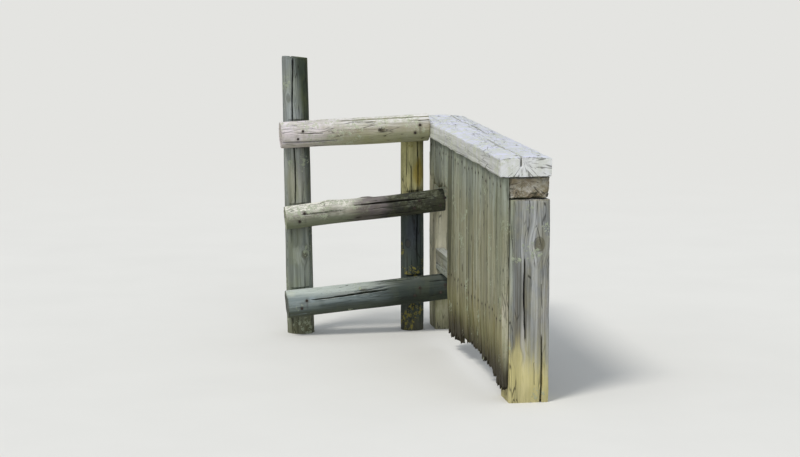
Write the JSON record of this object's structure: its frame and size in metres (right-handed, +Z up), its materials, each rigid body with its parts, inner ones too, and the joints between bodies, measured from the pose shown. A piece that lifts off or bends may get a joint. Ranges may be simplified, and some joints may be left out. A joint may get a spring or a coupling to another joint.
{
  "type": "rail stile with boarded wing wall",
  "caption": "Weathered timber farm stile: round rails to climb between a tall hand post and a rail post, joined at a corner to a low capped wall of rotted upright boards.",
  "frame": {"origin": "centre of the square end post's foot, at ground level", "axes": "+Z up; +Y along the wall from the end post to the corner post; +X across the wall, so the climbing rails run from the corner along -X"},
  "size_m": [0.9222, 1.935, 1.3153],
  "materials": {
    "end_post_wood": "weathered grey sawn timber with a green algae foot",
    "corner_post_wood": "weathered dark sawn timber",
    "plate_wood": "rough weathered sawn timber with open end grain",
    "wall_rail_wood": "weathered grey sawn timber",
    "cap_wood": "bleached, chalky whitish timber with green stains",
    "board_wood": "weathered grey-green boards, ochre and rotted at the foot",
    "rail_post_wood": "dark tarred round timber, lichened near the top",
    "hand_post_wood": "charcoal grey weathered round timber",
    "top_rail_wood": "pale barked and weathered pole, olive underneath",
    "middle_rail_wood": "pale grey-beige weathered pole",
    "bottom_rail_wood": "blue-grey weathered pole",
    "nail_steel": "rusted galvanised nail heads"
  },
  "bodies": {
    "root": {"end_post": "end_post_wood", "corner_post": "corner_post_wood", "top_plate": "plate_wood", "wall_rail": "wall_rail_wood", "wall_cap": "cap_wood", "board_1": "board_wood", "board_2": "board_wood", "board_3": "board_wood", "board_4": "board_wood", "board_5": "board_wood", "board_6": "board_wood", "board_7": "board_wood", "board_8": "board_wood", "short_board_1": "board_wood", "short_board_2": "board_wood", "short_board_3": "board_wood", "rail_post": "rail_post_wood", "hand_post": "hand_post_wood", "top_rail": "top_rail_wood", "middle_rail": "middle_rail_wood", "bottom_rail": "bottom_rail_wood"}
  },
  "joints": []
}
